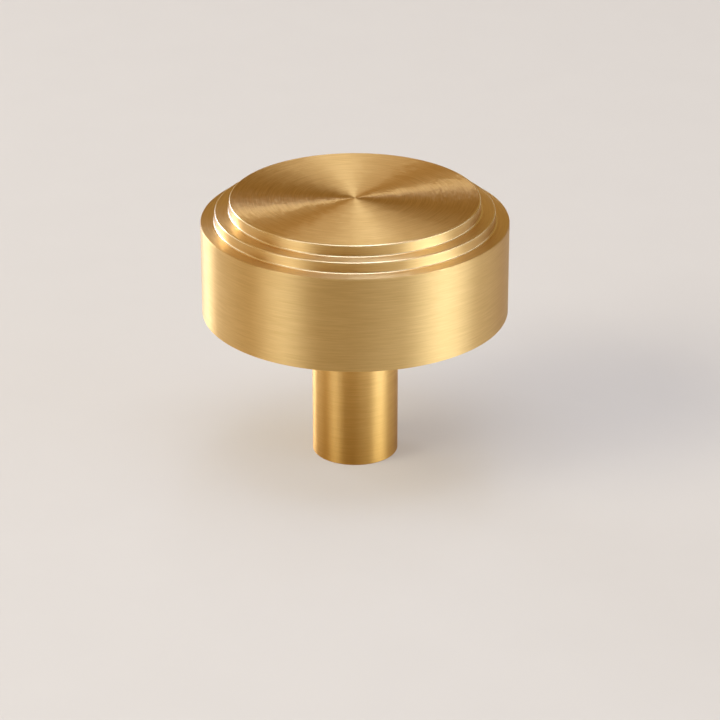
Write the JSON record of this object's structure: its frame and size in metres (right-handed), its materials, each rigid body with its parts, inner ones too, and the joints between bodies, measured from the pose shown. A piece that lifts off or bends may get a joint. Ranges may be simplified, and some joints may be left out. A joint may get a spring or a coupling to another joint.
{
  "type": "cabinet knob",
  "caption": "Solid brass cabinet knob with a brushed finish, a deep round head with a stepped face, and a plain cylindrical stem with a tapped hole in its foot",
  "frame": {"origin": "Centre of the stem's foot face, where the knob meets the cabinet door", "axes": "+Z is the knob's axis, from the foot towards the face that the hand meets; X and Y are across it"},
  "size_m": [0.04, 0.04, 0.0358],
  "materials": {
    "brass": "satin, turned and brushed in rings"
  },
  "bodies": {
    "root": {"knob": "brass"}
  },
  "joints": []
}
